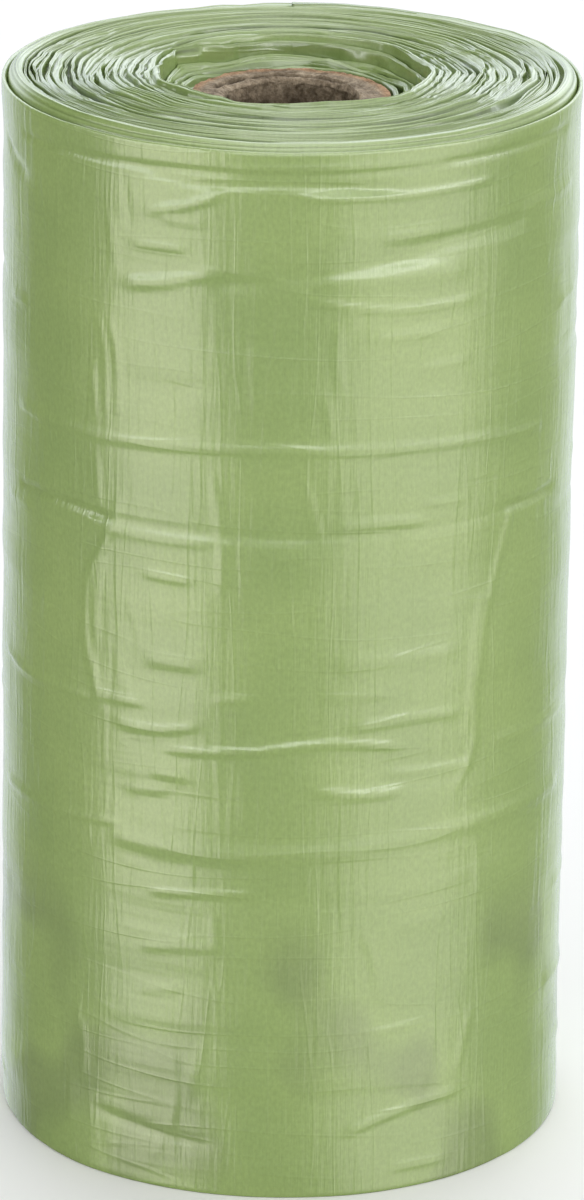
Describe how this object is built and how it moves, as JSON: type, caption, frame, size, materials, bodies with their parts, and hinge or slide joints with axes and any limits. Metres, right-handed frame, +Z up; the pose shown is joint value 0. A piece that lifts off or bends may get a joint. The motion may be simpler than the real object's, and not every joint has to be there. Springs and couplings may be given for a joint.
{
  "type": "roll of dog waste bags",
  "caption": "Full roll of folded plastic film bags wound on a short paperboard core, standing on its end, with uneven turn edges round a shallow crater.",
  "frame": {"origin": "on the roll's axis, in the plane that the roll stands on", "axes": "+Z up the roll's axis, -Y towards the side that the picture shows, +Y towards the loose tail of the film"},
  "size_m": [0.0328, 0.033, 0.0622],
  "materials": {
    "film": "pearly green film, glossy and slightly see-through",
    "paperboard": "matt grey-brown board"
  },
  "bodies": {
    "root": {"film_roll": "film", "paperboard_core": "paperboard"}
  },
  "joints": []
}
